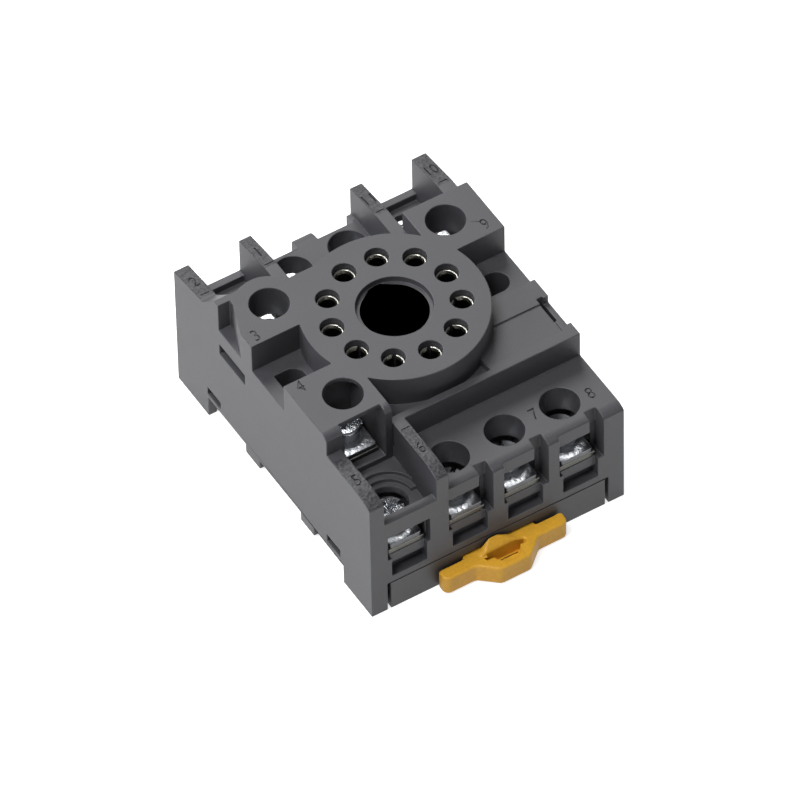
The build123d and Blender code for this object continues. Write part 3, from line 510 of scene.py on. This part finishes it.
def mark_grit(mesh):
    """Marks the tops of the fins and ribs, which the mould left coarse."""
    marks = mesh.attributes.new(GRIT, "FLOAT", "FACE")
    for face in mesh.polygons:
        place = face.center / MM - Vector((0, RELAY_AXIS_Y, 0))
        in_x = any(a < place.x < b for a, b in GRITTY_X)
        in_y = any(a < place.y < b for a, b in GRITTY_Y)
        if in_x and in_y and place.z > GRITTY_ABOVE and face.normal.z > FACING_UP:
            marks.data[face.index].value = 1.0


body_mesh = soften(split_rib_top(cut_away(cad_copy("housing"), engraving())), BODY_ROUNDING)
mark_grit(body_mesh)
link("body_moulding", body_mesh, "socket", charcoal, "housing", "housing")
bevelled_node("base_plate", "bottom_cover", "socket", charcoal_smooth, "base", COVER_ROUNDING)
bevelled_node("rail_clip", "sliding_clip", "clip", ochre, "clip", CLIP_ROUNDING, segments=3)

# Terminal screw M3.5: sizes as in the part's source, and the coarse pitch of this thread
SCREW_RADIUS = 1.75
SCREW_LENGTH = 7.5
SCREW_TIP = 0.5
THREAD_PITCH = 0.6
THREAD_DEPTH = 0.33
THREAD_END = -0.7
THREAD_STEPS = 8
# The thread is a triangular wave, stretched by the first and lowered by the second and then cut off at
# root and crest, which makes both flat
FLANK_RISE = 1.25
ROOT_FLAT = 0.125
HEAD_RADIUS = 3.1
HEAD_HEIGHT = 2.3
HEAD_CROWN = 0.5
# The driver's cross, and the shallower slot that runs out at both sides of the head
RECESS_SPAN = 3.6
RECESS_SLOT = 0.8
RECESS_DEPTH = 1.3
SLOT_LENGTH = 3 * HEAD_RADIUS
SLOT_DEPTH = 0.75 * RECESS_DEPTH
RECESS_ARMS = ((SLOT_LENGTH, RECESS_SLOT, SLOT_DEPTH), (RECESS_SLOT, RECESS_SPAN, RECESS_DEPTH),
               (RECESS_SPAN, RECESS_SLOT, RECESS_DEPTH))
ROUND_STEPS = 48
CROWN_STEPS = 5
# Only edges above this height are rounded: the head's, and not the thread's
ROUNDED_ABOVE = -0.1


def thread_radius(turn, z):
    """The radius of the threaded shank at a height and an angle, given as a share of a turn."""
    share = (z / THREAD_PITCH - turn) % 1.0
    ridge = min(1.0, max(0.0, FLANK_RISE * (1 - abs(2 * share - 1)) - ROOT_FLAT))
    run_out = min(1.0, (THREAD_END - z) / THREAD_PITCH)
    tip = SCREW_RADIUS - SCREW_TIP + (z + SCREW_LENGTH)
    return min(tip, SCREW_RADIUS - THREAD_DEPTH * (1 - ridge * run_out))


def screw_rings():
    """The screw from its tip to its crown: rings of points, each a height and a radius for any turn."""
    root = SCREW_RADIUS - THREAD_DEPTH
    steps = round((THREAD_END + SCREW_LENGTH) / THREAD_PITCH * THREAD_STEPS)
    heights = [-SCREW_LENGTH + (THREAD_END + SCREW_LENGTH) * i / steps for i in range(steps + 1)]
    profile = [(root, 0.0), (HEAD_RADIUS, 0.0)]
    for i in range(CROWN_STEPS + 1):
        angle = math.pi / 2 * i / CROWN_STEPS
        profile.append((HEAD_RADIUS - HEAD_CROWN * (1 - math.cos(angle)),
                        HEAD_HEIGHT - HEAD_CROWN * (1 - math.sin(angle))))
    shank = [(lambda turn, z=z: thread_radius(turn, z), z) for z in heights]
    return shank + [(lambda turn, r=r: r, z) for r, z in profile]


def add_ring(work, radius, z):
    """Adds one ring of points to a mesh that is being built."""
    ring = []
    for i in range(ROUND_STEPS):
        turn = i / ROUND_STEPS
        r = radius(turn)
        place = Vector((r * math.cos(math.tau * turn), r * math.sin(math.tau * turn), z)) * MM
        ring.append(work.verts.new(place))
    return ring


def screw_blank():
    """The screw with its thread, before the recess is cut."""
    work = bmesh.new()
    rings = [add_ring(work, radius, z) for radius, z in screw_rings()]
    for below, above in zip(rings, rings[1:]):
        for i in range(ROUND_STEPS):
            j = (i + 1) % ROUND_STEPS
            work.faces.new((below[i], below[j], above[j], above[i]))
    work.faces.new(list(reversed(rings[0])))
    work.faces.new(rings[-1])
    mesh = bpy.data.meshes.new("screw")
    work.to_mesh(mesh)
    work.free()
    return mesh


def recess_arm(length, width, depth):
    """The cutter of one arm of the recess, half of which lies above the head."""
    work = bmesh.new()
    size = Matrix.Diagonal((length * MM, width * MM, 2 * depth * MM, 1.0))
    bmesh.ops.create_cube(work, size=1.0, matrix=Matrix.Translation((0, 0, HEAD_HEIGHT * MM)) @ size)
    mesh = bpy.data.meshes.new("arm")
    work.to_mesh(mesh)
    work.free()
    return mesh


def screw_mesh():
    """A terminal screw with a real thread and a slotted cross recess, its head standing on the origin."""
    mesh = screw_blank()
    for arm in RECESS_ARMS:
        mesh = cut_away(mesh, recess_arm(*arm))
    work = bmesh.new()
    work.from_mesh(mesh)
    mark_sharp_edges(work, ROUNDED_ABOVE * MM)
    work.to_mesh(mesh)
    work.free()
    return soften(mesh, SCREW_ROUNDING)


def screw_placer():
    """Geometry nodes that set one screw in its place, turned about its axis, with its finish."""
    tree = bpy.data.node_groups.new("place_screw", "GeometryNodeTree")
    sockets = {"Screw": "NodeSocketObject", "Place": "NodeSocketVector", "Turn": "NodeSocketVector",
               "Finish": "NodeSocketMaterial"}
    tree.interface.new_socket(name="Geometry", in_out="OUTPUT", socket_type="NodeSocketGeometry")
    names = {name: tree.interface.new_socket(name=name, in_out="INPUT", socket_type=kind).identifier
             for name, kind in sockets.items()}
    given = add_node(tree, "NodeGroupInput")
    points = add_node(tree, "GeometryNodePoints", {"Count": 1}, {"Position": given.outputs["Place"]})
    shape = add_node(tree, "GeometryNodeObjectInfo", {"transform_space": "ORIGINAL"},
                     {"Object": given.outputs["Screw"]})
    turn = add_node(tree, "FunctionNodeEulerToRotation", None, {"Euler": given.outputs["Turn"]})
    placed = add_node(tree, "GeometryNodeInstanceOnPoints", None,
                      {"Points": points.outputs[0], "Instance": shape.outputs["Geometry"],
                       "Rotation": turn.outputs[0]})
    real = add_node(tree, "GeometryNodeRealizeInstances", None, {"Geometry": placed.outputs[0]})
    finish = add_node(tree, "GeometryNodeSetMaterial", None,
                      {"Geometry": real.outputs[0], "Material": given.outputs["Finish"]})
    add_node(tree, "NodeGroupOutput", None, {"Geometry": finish.outputs[0]})
    return tree, names


placer, placer_inputs = screw_placer()
pattern = bpy.data.objects.new("screw_pattern", screw_mesh())
bpy.context.scene.collection.objects.link(pattern)


def placed_screw(number):
    """The mesh of one terminal's screw, from the geometry nodes."""
    x, y, tier = TERMINALS[number]
    holder = bpy.data.objects.new("screw_holder", bpy.data.meshes.new("screw_holder"))
    bpy.context.scene.collection.objects.link(holder)
    modifier = holder.modifiers.new("place", "NODES")
    modifier.node_group = placer
    modifier[placer_inputs["Screw"]] = pattern
    modifier[placer_inputs["Place"]] = at(x, y, SCREW_SEAT_Z + TIER_STEP * tier)
    modifier[placer_inputs["Turn"]] = (0.0, 0.0, math.radians(SCREW_TWIST * number))
    modifier[placer_inputs["Finish"]] = zinc
    bpy.context.view_layer.update()
    made = bpy.data.meshes.new_from_object(holder.evaluated_get(bpy.context.evaluated_depsgraph_get()))
    bpy.data.objects.remove(holder)
    return made


for number in TERMINALS:
    bevelled_node(f"contact_{number}", f"stamped_contact_{number}", "socket", tinned, "contact",
                  CONTACT_ROUNDING, segments=3)
    bevelled_node(f"clamp_plate_{number}", f"wire_clamp_{number}", f"clamp_{number}", zinc_stamped, "clamp",
                  CLAMP_ROUNDING, segments=3)
    link(f"screw_{number}", placed_screw(number), f"screw_{number}", zinc, "screw",
         f"terminal_screw_{number}")
bpy.data.objects.remove(pattern)

# Clip spring, as the CAD node gives it. The real one is squashed towards the base plate's lug as the clip
# is pulled out
spring_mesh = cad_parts["clip_spring"].data.copy()
spring_mesh.shade_smooth()
spring = link("clip_coil_spring", spring_mesh, "socket", wire, "spring", "clip_spring")
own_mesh(spring)


def area_lamp(name, place, target, size, power, tint=(1.0, 1.0, 1.0)):
    """A soft box that points at a place. Its size is in metres, and its power in watts."""
    lamp = bpy.data.lights.new(name, "AREA")
    lamp.shape = "DISK"
    lamp.size = size
    lamp.energy = power
    lamp.color = tint
    holder = bpy.data.objects.new(name, lamp)
    bpy.context.scene.collection.objects.link(holder)
    ahead = (Vector(target) - Vector(place)).normalized()
    turn = ahead.to_track_quat("-Z", "Y")
    holder.matrix_world = Matrix.Translation(Vector(place)) @ turn.to_matrix().to_4x4()


MIDDLE = (0.0, 0.0, 0.015)
COOL_WHITE = (0.93, 0.96, 1.0)
area_lamp("soft_box_left", (-0.62, 0.35, 0.4), MIDDLE, 0.35, 3.0, COOL_WHITE)
area_lamp("soft_box_far", (0.1, 0.68, 0.8), MIDDLE, 0.6, 7.0)
area_lamp("soft_box_above", (-0.42, -0.1, 0.95), MIDDLE, 0.45, 9.0)

# The even light of the surroundings, and what shiny faces mirror: white at the level of the part, and
# dim from 30 degrees up
WORLD_LEVEL = 0.2
MIRRORED_SPAN = {"From Min": 0.0, "From Max": 0.5, "To Min": 1.0, "To Max": 0.15}


def set_world():
    """White where the camera or a clear piece sees it, dimmer overhead in mirrors, low for all else."""
    world = bpy.data.worlds.new("studio")
    bpy.context.scene.world = world
    world.use_nodes = True
    tree = world.node_tree
    tree.nodes.clear()
    rays = add_node(tree, "ShaderNodeLightPath")
    seen = add_node(tree, "ShaderNodeMath", {"operation": "MAXIMUM"},
                    {0: rays.outputs["Is Camera Ray"], 1: rays.outputs["Is Transmission Ray"]})
    look = add_node(tree, "ShaderNodeTexCoord")
    parts = add_node(tree, "ShaderNodeSeparateXYZ", None, {"Vector": look.outputs["Generated"]})
    backdrop = add_node(tree, "ShaderNodeMapRange", MIRRORED_SPAN, {"Value": parts.outputs["Z"]})
    mirrored = add_node(tree, "ShaderNodeMath", {"operation": "MULTIPLY"},
                        {0: rays.outputs["Is Glossy Ray"], 1: backdrop.outputs[0]})
    shown = add_node(tree, "ShaderNodeMath", {"operation": "MAXIMUM"},
                     {0: seen.outputs[0], 1: mirrored.outputs[0]})
    strength = add_node(tree, "ShaderNodeMath", {"operation": "MAXIMUM", 1: WORLD_LEVEL},
                        {0: shown.outputs[0]})
    sky = add_node(tree, "ShaderNodeBackground", {"Color": (1.0, 1.0, 1.0, 1.0)},
                   {"Strength": strength.outputs[0]})
    add_node(tree, "ShaderNodeOutputWorld", None, {"Surface": sky.outputs["Background"]})


set_world()

# The floor: its half width in metres, how far below the part it lies in millimetres, its own tone, and
# the glow that lifts it to white where the lamps reach it
FLOOR_HALF = 3.0
FLOOR_DROP = 0.05
FLOOR_TONE = "#cccccc"
FLOOR_GLOW = 0.75


def lay_floor():
    """A white floor that keeps the shadow: to the camera and to metal it glows beside the lamps' light."""
    material, tree = new_material("floor_white")
    rays = add_node(tree, "ShaderNodeLightPath")
    matt = add_node(tree, "ShaderNodeBsdfDiffuse", {"Color": colour(FLOOR_TONE)})
    glow = add_node(tree, "ShaderNodeEmission", {"Color": (1.0, 1.0, 1.0, 1.0), "Strength": FLOOR_GLOW})
    both = add_node(tree, "ShaderNodeAddShader", None, {0: matt.outputs[0], 1: glow.outputs[0]})
    seen = add_node(tree, "ShaderNodeMath", {"operation": "MAXIMUM"},
                    {0: rays.outputs["Is Camera Ray"], 1: rays.outputs["Is Glossy Ray"]})
    mixed = add_node(tree, "ShaderNodeMixShader", None,
                     {0: seen.outputs[0], 1: matt.outputs[0], 2: both.outputs[0]})
    add_node(tree, "ShaderNodeOutputMaterial", None, {"Surface": mixed.outputs[0]})
    mesh = bpy.data.meshes.new("floor")
    corners = [(x * FLOOR_HALF, y * FLOOR_HALF, 0) for x, y in ((-1, -1), (1, -1), (1, 1), (-1, 1))]
    mesh.from_pydata(corners, [], [(0, 1, 2, 3)])
    mesh.materials.append(material)
    floor = bpy.data.objects.new("floor", mesh)
    floor.location.z = -FLOOR_DROP * MM
    bpy.context.scene.collection.objects.link(floor)


lay_floor()

bpy.context.scene.view_settings.view_transform = "Standard"
